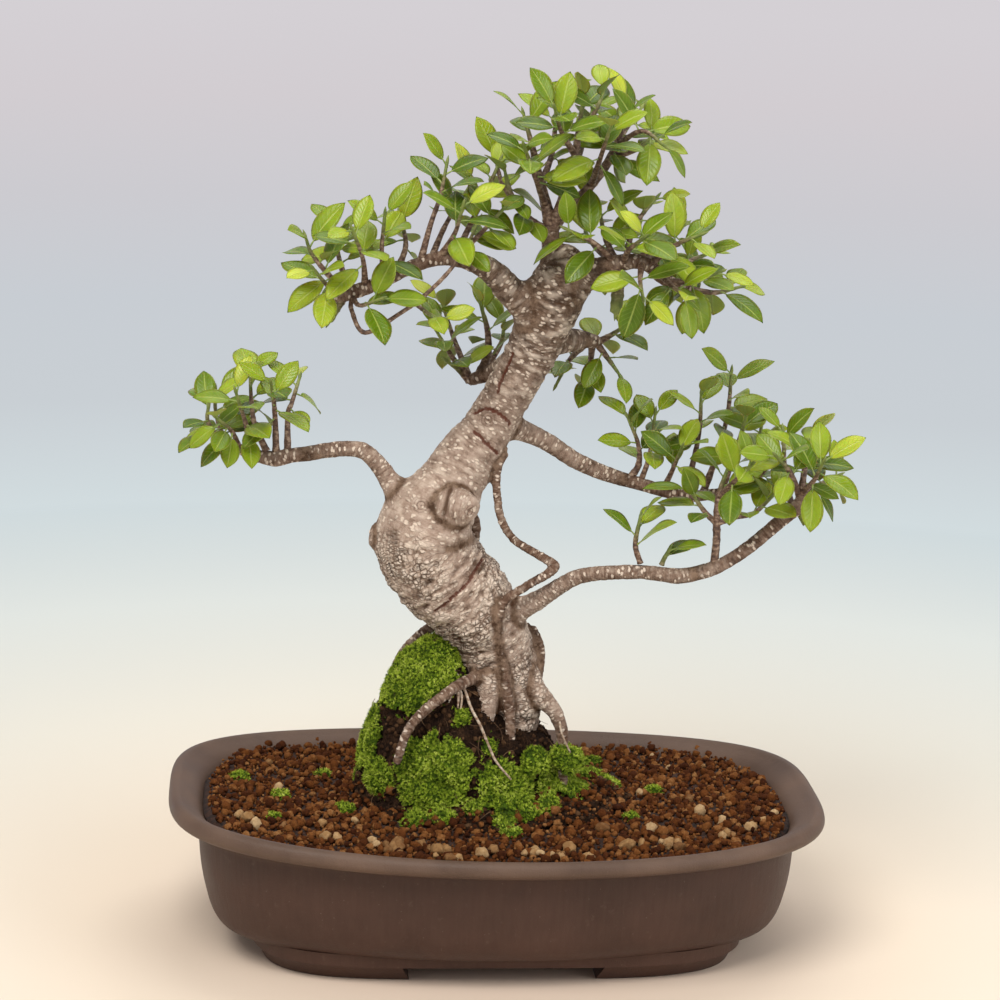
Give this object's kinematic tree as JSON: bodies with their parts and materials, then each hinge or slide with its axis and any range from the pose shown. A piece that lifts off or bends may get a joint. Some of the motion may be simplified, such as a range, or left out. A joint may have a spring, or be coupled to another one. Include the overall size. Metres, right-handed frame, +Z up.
{
  "type": "ficus bonsai tree in pot",
  "caption": "Informal upright ficus bonsai with a swelling, twisted trunk, bare spreading limbs with glossy leaf sprays, a mossy root mound and an oval brown stoneware pot.",
  "frame": {"origin": "middle of the whole object's bounding box, on the surface that the pot's feet stand on", "axes": "+X along the pot's long side towards the low limb, +Y towards the back (the front, as pictured, faces -Y), +Z up"},
  "size_m": [0.355, 0.244, 0.4693],
  "materials": {
    "stoneware": "matte unglazed brown stoneware",
    "drain_mesh": "matte black",
    "granules": "rough baked clay granules",
    "peat": "rough dark fibrous peat",
    "moss": "soft matte moss",
    "bark": "rough grey-brown bark",
    "leaf": "glossy green leaf on brown twig"
  },
  "bodies": {
    "root": {"pot": "stoneware", "drain_mesh_left": "drain_mesh", "drain_mesh_right": "drain_mesh", "soil": "granules", "mound": "peat", "moss_upper": "moss", "moss_left": "moss", "moss_front_left": "moss", "moss_front": "moss", "moss_right": "moss", "moss_back": "moss", "wood": "bark", "spray_left": "leaf", "spray_upper_left": "leaf", "spray_back_left": "leaf", "spray_back_right": "leaf", "spray_apex": "leaf", "spray_right_mid": "leaf", "spray_right_upper": "leaf", "spray_right_low": "leaf", "shoot_right_low": "leaf", "sprout_right_low": "leaf"}
  },
  "joints": []
}
